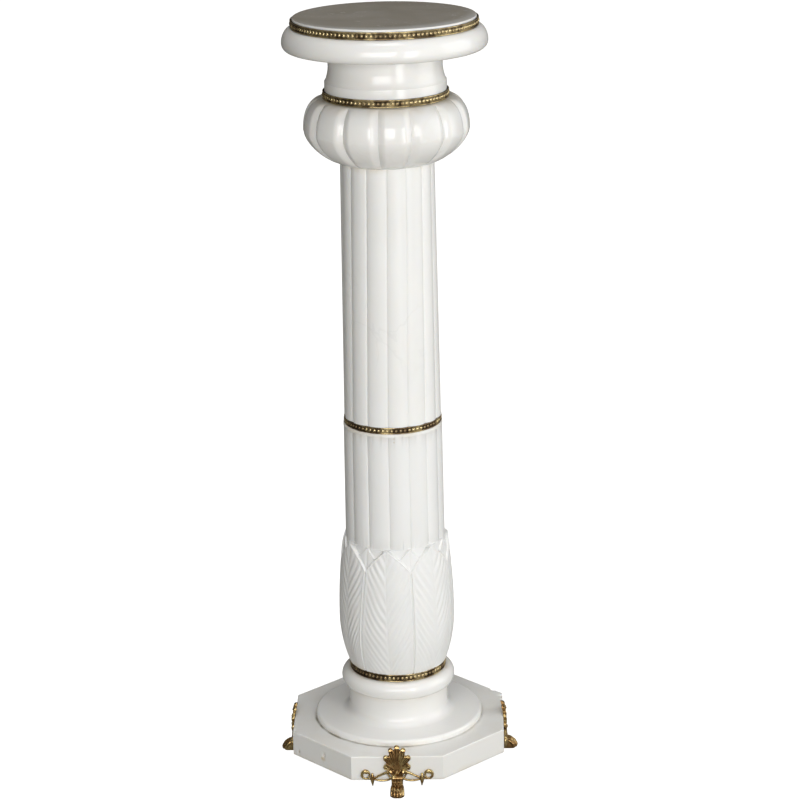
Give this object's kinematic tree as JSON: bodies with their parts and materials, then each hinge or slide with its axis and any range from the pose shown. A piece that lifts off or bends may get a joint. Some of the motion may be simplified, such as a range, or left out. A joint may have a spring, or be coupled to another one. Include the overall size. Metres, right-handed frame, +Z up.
{
  "type": "marble pedestal column",
  "caption": "Free-standing fluted marble pedestal column with leaf calyx, gadrooned cushion, gilt beaded bands and claw feet; its flat round top carries a bust or a vase.",
  "frame": {"origin": "on the floor under the column's axis, at the soles of the feet", "axes": "+Z up along the column, -Y towards the front foot, +X towards the right foot"},
  "size_m": [0.3292, 0.3292, 1.022],
  "materials": {
    "polished_marble": "polished creamy white marble",
    "shaft_marble": "fine-rubbed white marble with faint grey veins",
    "carved_marble": "matt carved white marble",
    "plinth_marble": "honed white marble with worn edges",
    "beaded_gilt_bronze": "worn antique gilding over dark bronze",
    "cast_gilt_bronze": "antique gilding with dark recesses"
  },
  "bodies": {
    "root": {"top_slab": "polished_marble", "top_bead_band": "beaded_gilt_bronze", "neck": "polished_marble", "capital_bead_band": "beaded_gilt_bronze", "gadrooned_cushion": "polished_marble", "upper_shaft": "shaft_marble", "shaft_bead_band": "beaded_gilt_bronze", "lower_shaft": "carved_marble", "calyx_bead_band": "beaded_gilt_bronze", "base_socle": "polished_marble", "plinth": "plinth_marble", "foot_front": "cast_gilt_bronze", "foot_right": "cast_gilt_bronze", "foot_back": "cast_gilt_bronze", "foot_left": "cast_gilt_bronze"}
  },
  "joints": []
}
